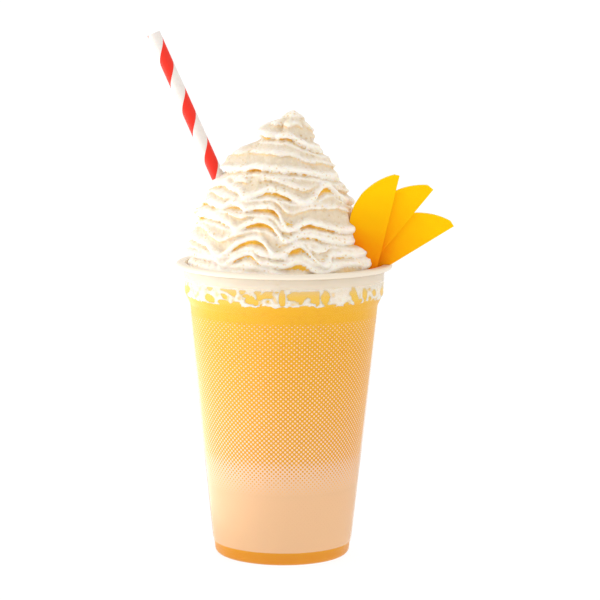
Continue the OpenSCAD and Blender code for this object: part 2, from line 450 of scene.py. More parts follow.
# Blended mango and milk: thick and smooth, with a soft gloss and fine pulp
drinkPulp, drinkShader, drinkNode = startMaterial("blended mango and milk", {
    "Roughness": 0.35, "IOR": 1.36, "Subsurface Weight": 0.25, "Subsurface Radius": (1.0, 0.55, 0.15),
    "Subsurface Scale": 0.004})
drinkPlace = drinkNode("TexCoord").outputs["Object"]
drinkUp = drinkNode("SeparateXYZ", links={0: drinkPlace}).outputs["Z"]
heights = {}
for name in ("high", "foot", "film"):
    start, end = smoothie[name + "Range"]
    heights[name] = drinkNode("MapRange", {
        "interpolation_type": "SMOOTHSTEP", "From Min": start * mm, "From Max": end * mm},
        {"Value": drinkUp})
pulp = drinkNode("TexNoise", {"Scale": grainScale(smoothie["pulpSize"]), "Detail": 2},
                 {"Vector": drinkPlace})
pulpShare = drinkNode("MapRange", {"From Min": 0.55, "From Max": 0.8, "To Max": 0.5}, {"Value": pulp})
drinkTint = drinkNode("Mix", {
    "data_type": "RGBA", 6: linear(smoothie["footColour"]), 7: linear(smoothie["lowColour"])},
    {0: heights["foot"]})
for share, tint in (
        (heights["high"], "colour"), (pulpShare, "speckleColour"), (heights["film"], "filmColour")):
    drinkTint = drinkNode("Mix", {"data_type": "RGBA", 7: linear(smoothie[tint])},
                          {0: share, 6: drinkTint.outputs[2]})
joinTo(drinkTint.outputs[2], drinkShader.inputs["Base Color"])
finishPiece(bm, "mangoSmoothie", drinkPulp, "smoothie")

# Aerated dairy cream: soft, matt and full of fine bubbles, white on its lips, with painted shade in its
# colour: tan on its faces, yellow deep in its folds and under its lips, and darker in its pores
cream = {
    "lipColour": "#f8f1e7",
    "faceShadeColour": "#e8d8bf",
    "faceFold": 0.3,             # fold at which a face has its whole painted shade
    "foldColour": "#ffca50",
    "foldShadeRange": (0.3, 0.72),
    "mottleSize": 2.381,         # mm, as all sizes here
    "mottle": 0.2,
    # painted shade in the pores' pits, which the bump also dents
    "poreColour": "#e9c78a",
    "poreSize": 2,               # drawn coarser than bubbles are, so that they show
    "poreCover": 0.75,
    "patchSize": 11.11,          # of the patches that have pores
    "foamSize": 1,
    "foamStretch": (1, 1, 0.4),
    "foamDepth": 1.0,
    "foamStrength": (0.3, 0.7),  # on the lips and on the faces
}
creamMaterial, creamShader, creamNode = startMaterial("aerated whipped cream, piped", {
    "Roughness": 0.5, "IOR": 1.35, "Specular IOR Level": 0.2, "Subsurface Weight": 0.6,
    "Subsurface Radius": (1.0, 0.8, 0.5), "Subsurface Scale": 0.0018})
creamPlace = creamNode("TexCoord").outputs["Object"]
fold = creamNode("Attribute", {"attribute_name": "fold"}).outputs["Fac"]
# Faces get painted shade over the lips' white, as far as their fold goes
faceShadeShare = creamNode("MapRange", {"From Min": 0.0, "From Max": cream["faceFold"]}, {"Value": fold})
mottle = creamNode("TexNoise", {"Scale": grainScale(cream["mottleSize"]), "Detail": 3, "Roughness": 0.7},
                   {"Vector": creamPlace})
mottleShift = creamNode("MapRange", {
    "From Min": 0.35, "From Max": 0.65, "To Min": -cream["mottle"], "To Max": cream["mottle"]},
    {"Value": mottle})
mottledShare = creamNode("Math", {"operation": "ADD", "use_clamp": True}, {0: faceShadeShare, 1: mottleShift})
# Painted yellow shade deep in the folds
foldFrom, foldTo = cream["foldShadeRange"]
foldShadeShare = creamNode("MapRange", {"From Min": foldFrom, "From Max": foldTo}, {"Value": fold})
pores = creamNode("TexVoronoi", {"Scale": grainScale(cream["poreSize"]), "Randomness": 1.0},
                  {"Vector": creamPlace})
poreShare = creamNode("MapRange", {"From Min": 0.12, "From Max": 0.32, "To Min": 1, "To Max": 0},
                      {"Value": pores.outputs["Distance"]})
patch = creamNode("TexNoise", {"Scale": grainScale(cream["patchSize"]), "Detail": 2},
                  {"Vector": creamPlace})
patchShare = creamNode("MapRange", {"From Min": 0.44, "From Max": 0.56}, {"Value": patch})
pored = creamNode("Math", "MULTIPLY", {0: poreShare, 1: patchShare})
poreCover = creamNode("Math", {"operation": "MULTIPLY", 1: cream["poreCover"]}, {0: pored})
creamTint = creamNode("Mix", {
    "data_type": "RGBA", 6: linear(cream["lipColour"]), 7: linear(cream["faceShadeColour"])}, {0: mottledShare})
for share, tint in ((foldShadeShare, "foldColour"), (poreCover, "poreColour")):
    creamTint = creamNode("Mix", {"data_type": "RGBA", 7: linear(cream[tint])},
                          {0: share, 6: creamTint.outputs[2]})
joinTo(creamTint.outputs[2], creamShader.inputs["Base Color"])
strokes = creamNode("Mapping", {"Scale": cream["foamStretch"]}, {"Vector": creamPlace})
foam = creamNode("TexNoise", {"Scale": grainScale(cream["foamSize"]), "Detail": 3, "Roughness": 0.65},
                 {"Vector": strokes})
foamHeight = creamNode("Math", "SUBTRACT", {0: foam, 1: poreCover})
smoothest, foamiest = cream["foamStrength"]
foamStrength = creamNode("MapRange", {
    "From Min": 0.0, "From Max": 0.2, "To Min": smoothest, "To Max": foamiest}, {"Value": fold})
foamBump = creamNode("Bump", {"Distance": cream["foamDepth"] * mm},
                     {"Strength": foamStrength, "Height": foamHeight})
joinTo(foamBump, creamShader.inputs["Normal"])

# The swirl, a ribbon of cream wound down from the tip. Lengths are in mm and noises say how much they give,
# how fast they change and where they are read
swirl = {
    "voxel": 0.6,
    "steps": 320,            # in one turn
    "rowsUnder": 5,
    "rowsLip": 5,
    "rowsFace": 24,
    "leastFace": 3.4,        # of a turn's face over its lip
    "tipHeight": 203.6,
    "level": 131.5,          # the swirl's foot, inside the cup
    "levelRadius": 41.5,
    "levelShare": 0.35,      # of a turn, in which the last groove settles to the level
    "footDip": 2,
    # the groove under each turn's edge
    "groove": 2.6,
    "archGroove": 0.05,      # deeper under each mm that the edge rises
    "archLimits": (-1.5, 3),
    "archRise": 0.6,
    "hang": 0.5,
    "grooveRun": 2.6,
    "tipFade": 14,           # radius under which the grooves get shallower
    "edgeNoise": (0.45, 0.16, 2.2, 0),
    "grooveNoise": (0.9, 0.05, 3.1, 0),
    "hangNoise": (0.4, 0.07, 7.7, 0),
    # the lip, which stands out over the turn below
    "lipRound": 0.8,
    "lipTurn": 165,          # degrees
    "lipOut": 1.05,
    "lipPale": 0.25,         # how much less painted groove shade the cream has under the lip than in the groove
    "sagPower": 1.8,
    "sidePower": 3,          # at the cup's left and right the lips are rounder and nearer
    "sideRound": 0.7,
    "sideIn": 0.4,
    "ruffleOut": 0.32,       # further out for each mm that the edge hangs
    "ruffleLimits": (-5, 2.5),
    "thinTurn": 6,           # height of a turn under which its lip gets smaller
    "tipRound": 9,           # radius under which the lips get smaller
    "lipNoise": (0.25, 0.04, 1.2, 5),
    "pushNoise": (0.5, 0.06, 9.4, 0),
    # the face over the lip, with a trough, a small crest and a ridge under the next groove
    "fin": 1.15,
    "trough": 1.6,
    "troughFade": 0.75,
    "bulge": 0.9,
    "bulgePower": 0.7,
    "crest": 1.6,
    "crestSlopes": (0.6, 1.3),   # below it and above it
    "crestHang": 0.45,
    "crestPlace": 0.5,       # share of the face
    "crestFaces": (4.2, 7.5),    # faces less high than the first have none
    "crestMean": 0.8,
    "crestMost": 1.3,
    "crestShift": (0.14, 0.03, 4.4, 2),
    "crestNoise": (1.1, 0.04, 6.1, 1),
    "ridge": 0.6,
    "ridgeWidth": 0.7,
    "joinPower": 8,
    # how deep in a fold a place counts as being, from 0 to 1, which sets the painted shade in its colour and
    # its foam
    "faceFold": 0.3,
    # crests and the ridge are left pale, a painted highlight
    "crestPale": 0.8,
    "underCrest": (1.2, 0.6, 0.2),   # distance, width, fold of a band of painted shade under each crest
    "paleTip": (5, 11),      # radii between which the tip's lack of painted fold shade ends
    "paleFoot": 0.75,
    "paleFootRange": (139, 134),
    "paleCore": (1, 6),
    # unevenness of the surface, with the scales of its noise
    "lump": (1.0, 0.16, 0.22),
    "pit": (0.4, 0.5, 0.6),
    "stroke": (0.3, 26, 0.12, 0.05),
    "strokeLeast": 0.2,      # share of the pits and strokes on a smooth lip
    "edgeRows": 3,           # rows next to a groove that are less uneven
    "coreRadius": 8,
    "foam": (0.3, 0.5),
    "foamLeast": 0.35,
    "foamFold": 0.15,        # fold from which a face is all foam
    # large dents and bulges: degrees round, height, half width in degrees, half height, how far it stands out
    "lumps": [
        (192, 194.8, 34, 2.8, 2.8), (180, 200.2, 45, 1.4, -2.6), (243, 196.5, 8, 5.0, -3.2),
        (185, 189.2, 26, 1.6, -4.6), (350, 191.6, 22, 1.3, 1.6), (355, 186, 25, 1.8, -2.2),
        (350, 180.3, 18, 1.5, 0.4), (355, 173.8, 22, 1.6, -2.0), (350, 167, 16, 1.6, -0.6),
        (186, 180, 24, 4.4, 2.2), (186, 174.6, 18, 2.0, -3.8), (188, 156.5, 18, 2.4, 2.2),
        (188, 146.5, 18, 2.2, 1.8), (188, 140, 18, 1.8, 1.6), (332, 154, 10, 4.5, 2.2),
        (338, 140.5, 14, 3.0, 4.0)],
    # height, sideways middle, radius
    "outline": [
        (128, -0.5, 42), (134, -0.8, 41.8), (137.5, -1.2, 41.0), (140.5, -2.6, 39.6), (146.5, -3.8, 37.6),
        (152.5, -3.7, 36.0), (158.5, -3.5, 34.4), (164.5, -3.1, 32.2), (170.5, -2.6, 28.8),
        (176.5, -2.4, 24.8), (182.5, -2.6, 21.2), (186.5, -1.6, 17.0), (190, 0.2, 13.0),
        (194.5, 1.4, 10.0), (198, 1.9, 7.2), (201, 3.0, 4.0), (203.6, 3.2, 0.5)],
    # one row for each turn down the swirl: (degrees round, height) of the edge that hangs over the turn below
    "edges": [
        [(0, 203), (60, 200.5), (120, 196.5), (180, 193.5), (200, 192.2), (234, 191.2), (272, 191.4),
         (284, 190.6), (305, 187.9), (327, 185.4)],
        [(0, 184), (30, 182.5), (60, 180.5), (90, 180), (120, 177.5), (150, 176.5), (180, 175),
         (195, 175.2), (223, 177), (244, 178.3), (265, 177.7), (286, 176.9), (307, 175.6), (323, 173.7),
         (351, 171.8)],
        [(15, 172.5), (45, 170.5), (70, 171.5), (95, 168), (120, 170), (150, 167.5), (180, 169),
         (215, 170.4), (236, 167.7), (243, 165.2), (253, 167.3), (261, 169), (268, 168.9), (274, 167.2),
         (281, 165.8), (286, 164.1), (292, 163), (297, 164.1), (306, 167.9), (314, 170.2), (323, 169.7),
         (327, 166.2), (334, 163.4), (351, 160.6)],
        [(15, 161), (40, 158.5), (65, 161.5), (90, 158), (115, 161), (145, 157.5), (180, 160), (188, 162),
         (208, 161.3), (223, 160.6), (230, 162.5), (237, 162.2), (248, 160.8), (258, 161.6), (266, 161.7),
         (271, 159.7), (274, 155.8), (277, 151.4), (282, 152), (288, 154.5), (294, 155.3), (300, 153.9),
         (309, 152.5), (321, 150.3), (339, 149.6), (350, 150.8)],
        [(10, 149.5), (35, 151.5), (60, 148), (85, 151.5), (110, 148), (140, 151.5), (160, 149.5),
         (180, 152), (202, 156.5), (224, 155.5), (236, 153.5), (241, 151), (249, 154.2), (255, 155.5),
         (263, 155.7), (268, 153.5), (272, 149.5), (277, 146.5), (287, 149.8), (297, 149.2), (307, 146.6),
         (321, 145.3), (342, 145)],
        [(10, 141.5), (35, 145), (60, 141), (85, 144.5), (110, 141), (135, 144.5), (160, 142),
         (183, 146.2), (214, 143.8), (224, 141), (231, 138.6), (240, 144.1), (246, 146.6), (252, 148.3),
         (260, 147.6), (264, 145.3), (266.5, 141), (270, 140), (274, 141.2), (281, 144.2), (287, 145.4),
         (290, 143.6), (292.5, 139), (295, 135.4), (299, 136), (305, 140.2), (312, 140.8), (324, 139.2),
         (342, 140.4), (352, 139)],
        [(0, 137), (15, 138.5), (40, 135.5), (65, 138.5), (90, 135.5), (120, 138), (150, 135.5),
         (175, 137.5), (190, 137.3), (216, 137.6), (225, 137.8), (232, 134.8), (239, 138.4), (248, 141.5),
         (253, 142.2), (256, 138.8), (258, 136.2), (261, 137.5), (265, 137.2), (269, 135.8), (274, 136.8),
         (283, 138.8), (288, 134.6), (294, 132.6), (302, 134.6), (315, 136.5), (330, 134.2)],
        [(0, 133.5), (180, 132.2), (360, 131.8)],
    ],
}
steps = swirl["steps"]
turnsDown = len(swirl["edges"])
edgePoints = [(360 * turn + degrees, height)
              for turn, row in enumerate(swirl["edges"]) for degrees, height in row]
edgeHeights = [between(edgePoints, 360 * j / steps)[0] for j in range(turnsDown * steps + 1)]


def softened(values, reach):
    # Running mean over the values within reach
    total = [0]
    for v in values:
        total.append(total[-1] + v)
    last = len(values)
    means = []
    for i in range(last):
        start, end = max(0, i - reach), min(last, i + reach + 1)
        means.append((total[end] - total[start]) / (end - start))
    return means


def unevenAt(j, name):
    # What one of the swirl's noises gives at step j
    amount, scale, y, z = swirl[name]
    return amount * rough(j * scale, y, z)


edgeHeights = softened(softened(edgeHeights, 2), 1)
edgeMeans = softened(softened(edgeHeights, 14), 8)
edgeHeights = [h + unevenAt(j, "edgeNoise") * smoothStep(0, steps, j) for j, h in enumerate(edgeHeights)]
lastTurn = (turnsDown - 1) * steps


def grooveAt(j):
    # Radius, height and depth of the groove that lies under the edge at step j
    if j <= 0:
        return 0.0, swirl["tipHeight"], 0.0
    j = min(j, turnsDown * steps)
    z = edgeMeans[j]
    rise = edgeHeights[j] - z
    radius = between(swirl["outline"], z)[1]
    size = min(1, radius / swirl["tipFade"])
    lowest, highest = swirl["archLimits"]
    arch = min(highest, max(lowest, rise))
    depth = (swirl["groove"] + swirl["archGroove"] * arch + unevenAt(j, "grooveNoise")) * size
    z += (swirl["hang"] + swirl["archRise"] * max(0.0, rise) + unevenAt(j, "hangNoise")) * size
    r = radius - depth
    settle = smoothStep(lastTurn - swirl["levelShare"] * steps, lastTurn, j)
    r += (swirl["levelRadius"] - r) * settle
    z += (swirl["level"] - z) * settle
    return max(0.0, r), z, depth


grooves = [grooveAt(j) for j in range(-steps, turnsDown * steps + 1)]


def crestShape(x):
    # A small fold in section: steep below, easy above
    below, above = swirl["crestSlopes"]
    return math.exp(-(x / (below if x < 0 else above)) ** 2)


def acrossRibbon(j):
    # The (radius, height, fold) points of one turn, from the groove under its edge up to the groove above it
    lowR, lowZ = grooves[j + steps][:2]
    topR, topZ, topDepth = grooves[j]
    edgeRadius = between(swirl["outline"], edgeHeights[j])[1]
    size = smoothStep(0, swirl["thinTurn"], topZ - lowZ) * min(1, edgeRadius / swirl["tipRound"])
    lowest, highest = swirl["ruffleLimits"]
    arch = min(highest, max(lowest, edgeHeights[j] - edgeMeans[j]))
    side = abs(math.cos(fullTurn * j / steps)) ** swirl["sidePower"]
    edge = swirl["lipRound"] * size * (1 + unevenAt(j, "lipNoise") + swirl["sideRound"] * side)
    lipZ = lowZ + (min(edgeHeights[j], topZ - swirl["leastFace"]) - lowZ) * size
    radius = between(swirl["outline"], lipZ)[1]
    push = swirl["lipOut"] - swirl["sideIn"] * side - swirl["ruffleOut"] * arch + unevenAt(j, "pushNoise")
    lipR = max(0.0, lowR + (radius + push - lowR) * size)
    points = []
    # Under the lip: painted yellow shade from the groove, a little less towards the lip
    for i in range(swirl["rowsUnder"]):
        q = i / swirl["rowsUnder"]
        sag = (lipZ - lowZ) * (q ** swirl["sagPower"] if lipZ < lowZ else q)
        points.append((lowR + (lipR - edge - lowR) * q, lowZ + sag, 1 - swirl["lipPale"] * q))
    # The lip itself gets no painted shade
    for i in range(swirl["rowsLip"]):
        a = math.radians(swirl["lipTurn"] * i / (swirl["rowsLip"] - 1) - 90)
        points.append((lipR - edge + edge * math.cos(a), lipZ + edge + edge * math.sin(a), 0.0))
    startR, startZ = points[-1][:2]
    startPush = startR - between(swirl["outline"], startZ)[1]
    face = max(0.01, topZ - startZ)
    crestAt = face * (swirl["crestPlace"] + unevenAt(j, "crestShift"))
    crestShare = min(swirl["crestMost"], max(0.0, swirl["crestMean"] + unevenAt(j, "crestNoise")))
    crest = swirl["crest"] * smoothStep(*swirl["crestFaces"], face) * crestShare
    shadeBelow, shadeWidth, shadeFold = swirl["underCrest"]
    for i in range(1, swirl["rowsFace"] + 1):
        s = i / swirl["rowsFace"]
        up = face * s
        shape = crestShape(up - crestAt)
        z = startZ + up - swirl["crestHang"] * crest * shape
        fin = math.exp(-(up / swirl["fin"]) ** 2)
        ridge = math.exp(-((face - swirl["grooveRun"] - up) / swirl["ridgeWidth"]) ** 2)
        inward = smoothStep(face - swirl["grooveRun"], face, up)
        out = between(swirl["outline"], z)[1] + startPush * fin
        out -= swirl["trough"] * size * (1 - fin) * (1 - swirl["troughFade"] * s)
        out += swirl["bulge"] * size * (1 - fin) * math.sin(math.pi * s) ** swirl["bulgePower"]
        out += size * (crest * shape + swirl["ridge"] * ridge)
        out -= topDepth * inward
        out += (topR - (between(swirl["outline"], topZ)[1] - topDepth)) * s ** swirl["joinPower"]
        # The fold value that sets the painted shade: some on the face, little on crests and the ridge, more
        # in a band under each crest
        pale = swirl["crestPale"] * max(ridge, min(1.0, crest * shape))
        shade = math.exp(-((up - crestAt + shadeBelow) / shadeWidth) ** 2)
        deep = swirl["faceFold"] * (1 - fin) * (1 - pale) + shadeFold * min(1.0, crest) * shade
        points.append((out, z, max(deep, inward)))
    points[-1] = (topR, topZ, 1.0)
    # The tip, the foot and the core get little of the folds' painted shade and foam
    folded = smoothStep(*swirl["paleTip"], radius)
    folded *= 1 - swirl["paleFoot"] * smoothStep(*swirl["paleFootRange"], lipZ)
    return [(r, z, deep * folded * smoothStep(*swirl["paleCore"], r)) for r, z, deep in points]


def lumpsAt(angle, z):
    # How far the large dents and bulges push the surface out, at an angle in degrees
    out = 0.0
    for degrees, height, wide, tall, most in swirl["lumps"]:
        across = ((angle - degrees + 180) % 360 - 180) / wide
        out += most * math.exp(-across ** 2 - ((z - height) / tall) ** 2)
    return out


def foamShare(least, deep):
    # Share of the foam that a place has: the least on a smooth lip, all of it on a face
    return least + (1 - least) * min(1, deep / swirl["foamFold"])


rows = swirl["rowsUnder"] + swirl["rowsLip"] + swirl["rowsFace"]
lump, lumpScale, lumpUp = swirl["lump"]
pit, pitScale, pitUp = swirl["pit"]
stroke, strokeAround, strokeUp, strokeOut = swirl["stroke"]
bm = bmesh.new()
foldLayer = bm.verts.layers.float.new("fold")
bmesh.ops.create_grid(bm, x_segments=turnsDown * steps, y_segments=rows - 1, size=1)
ribbons = {}
for vert in bm.verts:
    j = round((vert.co.x + 1) / 2 * turnsDown * steps)
    i = round((vert.co.y + 1) / 2 * (rows - 1))
    if j not in ribbons:
        ribbons[j] = acrossRibbon(j)
    r, z, deep = ribbons[j][i]
    a = fullTurn * j / steps
    x, y = math.cos(a) * r, math.sin(a) * r
    uneven = lump * rough(x * lumpScale, y * lumpScale, z * lumpUp)
    fine = pit * rough(x * pitScale, y * pitScale, z * pitUp, 2)
    fine += stroke * rough(a * strokeAround, z * strokeUp, r * strokeOut, 2)
    uneven += fine * foamShare(swirl["strokeLeast"], deep)
    uneven *= min(1, min(i, rows - 1 - i) / swirl["edgeRows"]) * min(1, r / swirl["coreRadius"])
    r = max(0.0, r + uneven + lumpsAt(math.degrees(a), z))
    middle = between(swirl["outline"], z)[0]
    vert.co = ((middle + r * math.cos(a)) * mm, r * math.sin(a) * mm, z * mm)
    vert[foldLayer] = deep
bmesh.ops.remove_doubles(bm, verts=bm.verts, dist=2 * weldGap)
# The open foot is drawn in to a point under the level
foot = bmesh.ops.extrude_edge_only(bm, edges=[e for e in bm.edges if e.is_boundary])
for vert in foot["geom"]:
    if isinstance(vert, bmesh.types.BMVert):
        vert.co = (0, 0, (swirl["level"] - swirl["footDip"]) * mm)
bmesh.ops.remove_doubles(bm, verts=bm.verts, dist=2 * weldGap)
bmesh.ops.recalc_face_normals(bm, faces=bm.faces)
bm = oneSkin(bm, swirl["voxel"], "fold")
foldLayer = bm.verts.layers.float["fold"]
foamRise, foamScale = swirl["foam"]
for vert, normal in [(v, v.normal.copy()) for v in bm.verts]:
    foamy = foamRise * mm * foamShare(swirl["foamLeast"], vert[foldLayer])
    vert.co += normal * foamy * rough(*(vert.co / mm * foamScale))
finishPiece(bm, "creamSwirl", creamMaterial, "whipped_cream")

# Cream that fills the mouth of the cup, and shows behind the wall as white curls with drink between them.
# Lengths are in mm, and depths go from 0 at the wall to 1 at the recess
mouthCream = {
    "steps": 480,
    "wallRows": 40,
    "foot": 118.2,
    "heel": 0.3,
    "shoulder": 131.6,
    "footRadii": (0, 12, 24, 33, 38, 41),
    "topLine": [(44.4, 132.2), (43.8, 132.6), (43, 132.9), (42, 133.1), (40, 133.4), (36, 134), (28, 134),
                (14, 134), (0, 134)],
    "topFrom": 132,
    "topNoise": (0.6, 0.25, 2.0),
    "topFade": (44.6, 42),
    "intoWall": 0.2,
    "recess": 3.4,
    "fold": 0.12,            # its share of the folds' painted shade, for cream in shade behind the wall
    "recessShadeFold": 0.42,     # more, as painted yellow shade, round the curls and gaps where the cream stands back
    # the lower edge: its height, how soft it is, and two noises
    "edge": 119.2,
    "edgeSoft": 0.45,
    "edgeWaves": (1.1, 0.16, 0.3),
    "edgeNicks": (0.5, 0.6, 0.9),
    # the curls lie along the zero lines of a noise
    "curlScale": 0.17,
    "curlUp": 1.1,
    "curlTop": (126.8, 125.4),
    "curlFoot": (0.3, 1.8),  # over the lower edge
    "curlDepth": (0.35, 0.46),
    "curlShade": (0.1, 0.36),
    # gaps: degrees round, height, half width and half height, tilt in degrees
    "gaps": [
        (190, 122.2, 7.5, 1.9, 12), (223, 121.6, 2.9, 1.5, -10), (233.5, 120.4, 3.0, 1.2, -12),
        (242, 119.9, 2.2, 1.5, 0), (248.3, 124.3, 1.6, 0.6, 0), (260, 124.4, 3.2, 0.8, 0),
        (254.2, 121.7, 1.0, 1.3, 0), (269, 123.4, 1.1, 3.2, 0), (274.2, 124.9, 1.9, 1.0, 0),
        (283.4, 125.0, 2.4, 0.8, 0), (279.5, 123.2, 0.8, 2.0, 0), (289, 122.4, 0.7, 2.2, 0),
        (293.8, 123.7, 1.7, 3.0, 0), (314.5, 122.6, 1.3, 4.6, 24), (308, 119.6, 1.2, 1.3, 0),
        (333, 117.7, 2.6, 2.2, 0), (352, 122.0, 5.5, 1.5, 0)],
    "gapSize": 0.95,
    "gapWobble": (0.3, 0.35, 0.4),
    "gapDepth": (0.75, 1.2),
    "gapShade": (0.9, 1.6),
    # gaps at the back: how many, and the mean, spread, step and place of each measure's noise
    "backGaps": 16,
    "backRange": (4, 10.625),    # degrees: where they start, and from one to the next
    "backPlace": (0.5, 0.4, 1.7, 4.2),
    "backHeight": (122.5, 2.6, 2.3, 8.1),
    "backHalfWidth": (2.0, 1.6, 1.1, 1.3),
    "backHalfHeight": (1.7, 1.0, 1.9, 5.7),
    "backTilt": (0, 20, 3.1, 2.9),
}


def backMeasure(i, name):
    # One measure of the gap at the back that has this number
    mean, spread, step, place = mouthCream[name]
    return mean + spread * noise.noise(Vector((i * step, place, 0)))


gaps = list(mouthCream["gaps"])
backStart, backStep = mouthCream["backRange"]
for i in range(mouthCream["backGaps"]):
    place, height, halfWidth, halfHeight, tilt = [
        backMeasure(i, "back" + name) for name in ("Place", "Height", "HalfWidth", "HalfHeight", "Tilt")]
    gaps.append((backStart + backStep * (i + place), height, halfWidth, halfHeight, tilt))


def lobeRecess(a, z):
    # How far the cream stands back from the wall, and how much painted yellow shade it gets round its
    # recesses, both 0 to 1
    x, y = math.cos(a) * mouthRadius, math.sin(a) * mouthRadius
    wave, waveScale, waveAt = mouthCream["edgeWaves"]
    nick, nickScale, nickAt = mouthCream["edgeNicks"]
    low = (mouthCream["edge"] + wave * rough(x * waveScale, y * waveScale, waveAt)
           + nick * rough(x * nickScale, y * nickScale, nickAt, 1))
    back = 1 - smoothStep(low - mouthCream["edgeSoft"], low + mouthCream["edgeSoft"], z)
    scale = mouthCream["curlScale"]
    hollow = abs(rough(x * scale, y * scale, z * mouthCream["curlUp"] * scale, 2))
    curlStart, curlEnd = mouthCream["curlFoot"]
    zone = smoothStep(*mouthCream["curlTop"], z) * smoothStep(low + curlStart, low + curlEnd, z)
    back = max(back, smoothStep(*mouthCream["curlDepth"], hollow) * zone)
    # The painted yellow shade reaches wider round the curls than their recess
    recessShade = smoothStep(*mouthCream["curlShade"], hollow) * zone
    amount, wobbleScale, wobbleUp = mouthCream["gapWobble"]
    wobble = amount * rough(x * wobbleScale, y * wobbleScale, z * wobbleUp, 2)
    for degrees, height, halfWidth, halfHeight, tilt in gaps:
        across = math.radians((math.degrees(a) - degrees + 180) % 360 - 180) * mouthRadius
        up = z - height
        t = math.radians(tilt)
        u = (across * math.cos(t) + up * math.sin(t)) / halfWidth
        v = (up * math.cos(t) - across * math.sin(t)) / halfHeight
        far = math.hypot(u, v) / mouthCream["gapSize"] + wobble
        if far < mouthCream["gapShade"][1]:
            back = max(back, 1 - smoothStep(*mouthCream["gapDepth"], far))
            recessShade = max(recessShade, 1 - smoothStep(*mouthCream["gapShade"], far))
    return back, recessShade


wallFoot = mouthCream["foot"] + mouthCream["heel"]
wallStep = (mouthCream["shoulder"] - mouthCream["foot"]) / mouthCream["wallRows"]
mouthLine = [(r, mouthCream["foot"]) for r in mouthCream["footRadii"]]
mouthLine += [(mouthRadius, wallFoot + wallStep * i) for i in range(mouthCream["wallRows"])]
mouthLine += mouthCream["topLine"]
topWave, topScale, topAt = mouthCream["topNoise"]
bm = bmesh.new()
foldLayer = bm.verts.layers.float.new("fold")
spinLine(bm, mouthLine, mouthCream["steps"], False)
for vert in bm.verts:
    vert[foldLayer] = mouthCream["fold"]
    x, y, z = vert.co / mm
    r, a = math.hypot(x, y), math.atan2(y, x) % fullTurn
    if abs(r - mouthRadius) < 0.01:
        back, recessShade = lobeRecess(a, z)
        r = innerRadius(z) + mouthCream["intoWall"] - mouthCream["recess"] * back
        # painted yellow shade round the recesses
        vert[foldLayer] += mouthCream["recessShadeFold"] * recessShade
    elif z > mouthCream["topFrom"]:
        z += topWave * rough(x * topScale, y * topScale, topAt) * smoothStep(*mouthCream["topFade"], r)
    vert.co = (r * math.cos(a) * mm, r * math.sin(a) * mm, z * mm)
finishPiece(bm, "creamInCup", creamMaterial, "whipped_cream")

# The straw: a paper strip wound into a tube, leaning left in the cup. Lengths are in mm, angles in degrees
straw = {
    "radius": 3.0,
    "paper": 0.45,
    "length": 197,
    "dip": 84.5,             # how much of it is below the cup's rim
    "lean": 24.5,
    "back": 1.6,
    "left": 13.2,
    "behind": 5,
    "sides": 64,
    "rows": 240,
    "innerRow": 20,          # from the end, so that the inside has no long thin faces there
    "rounding": (0.08, 2, 60),
    "bandPitch": 24.4,       # along the straw for one turn of the band
    "bandShare": 0.5,
    "bandStart": 0.467,
    "bandEdge": (0.012, 0.004),
    "seamStep": 0.07,        # how deep the joint between two strips is
    "seamWidth": 0.02,       # share of the pitch
    "red": "#ee2c16",
    "redFibre": "#ea2c18",
    "white": "#efe8e2",
    "whiteFibre": "#e2d9d2",
    "fibreSize": 1.111,      # drawn coarser than paper's fibres are, so that they show
    "fibreDepth": 0.05,
}
strawFrame = (Matrix.Translation(Vector((-straw["left"], straw["behind"], cup["height"])) * mm)
              @ Euler((math.radians(-straw["back"]), math.radians(-straw["lean"]), 0)).to_matrix().to_4x4()
              @ Matrix.Translation((0, 0, -straw["dip"] * mm)))
inner = straw["radius"] - straw["paper"]
strawLine = [(straw["radius"], straw["length"] * i / straw["rows"]) for i in range(straw["rows"] + 1)]
strawLine += [(inner, straw["length"]), (inner, straw["length"] - straw["innerRow"]), (inner, 0)]
bm = bmesh.new()
spinLine(bm, strawLine, straw["sides"], True)
for vert in bm.verts:
    x, y, z = vert.co / mm
    if math.hypot(x, y) > straw["radius"] - straw["paper"] / 2:
        wound = (z / straw["bandPitch"] - math.atan2(y, x) / fullTurn - straw["bandStart"]) % 0.5
        lap = max(0.0, 1 - min(wound, 0.5 - wound) / straw["seamWidth"])
        scale = 1 - straw["seamStep"] / straw["radius"] * lap
        vert.co = (vert.co.x * scale, vert.co.y * scale, vert.co.z)
roundEdges(bm, *straw["rounding"])
bmesh.ops.transform(bm, matrix=strawFrame, verts=bm.verts)

# Uncoated food paper, printed: smooth, slightly waxed, with a clean edge to the red band
strawPaper, strawShader, paperNode = startMaterial("spiral-wound food paper, printed red", {
    "Roughness": 0.42, "IOR": 1.5, "Specular IOR Level": 0.3, "Subsurface Weight": 0.1,
    "Subsurface Radius": (1.0, 0.6, 0.5), "Subsurface Scale": 0.0008})
strawPlace = paperNode("TexCoord").outputs["Object"]
along = paperNode("Mapping", {
    "vector_type": "TEXTURE", "Location": strawFrame.to_translation(), "Rotation": strawFrame.to_euler()},
    {"Vector": strawPlace})
strawAxes = paperNode("SeparateXYZ", links={0: along})
strawAngle = paperNode("Math", "ARCTAN2", {0: strawAxes.outputs["Y"], 1: strawAxes.outputs["X"]})
turn = paperNode("Math", {"operation": "DIVIDE", 1: fullTurn}, {0: strawAngle})
rise = paperNode("Math", {"operation": "DIVIDE", 1: straw["bandPitch"] * mm}, {0: strawAxes.outputs["Z"]})
wind = paperNode("Math", "SUBTRACT", {0: rise, 1: turn})
offset = paperNode("Math", {"operation": "SUBTRACT", 1: straw["bandStart"]}, {0: wind})
band = paperNode("Math", "FRACT", {0: offset})
halfBand = straw["bandShare"] / 2
bandMiddle = paperNode("Math", {"operation": "SUBTRACT", 1: halfBand}, {0: band})
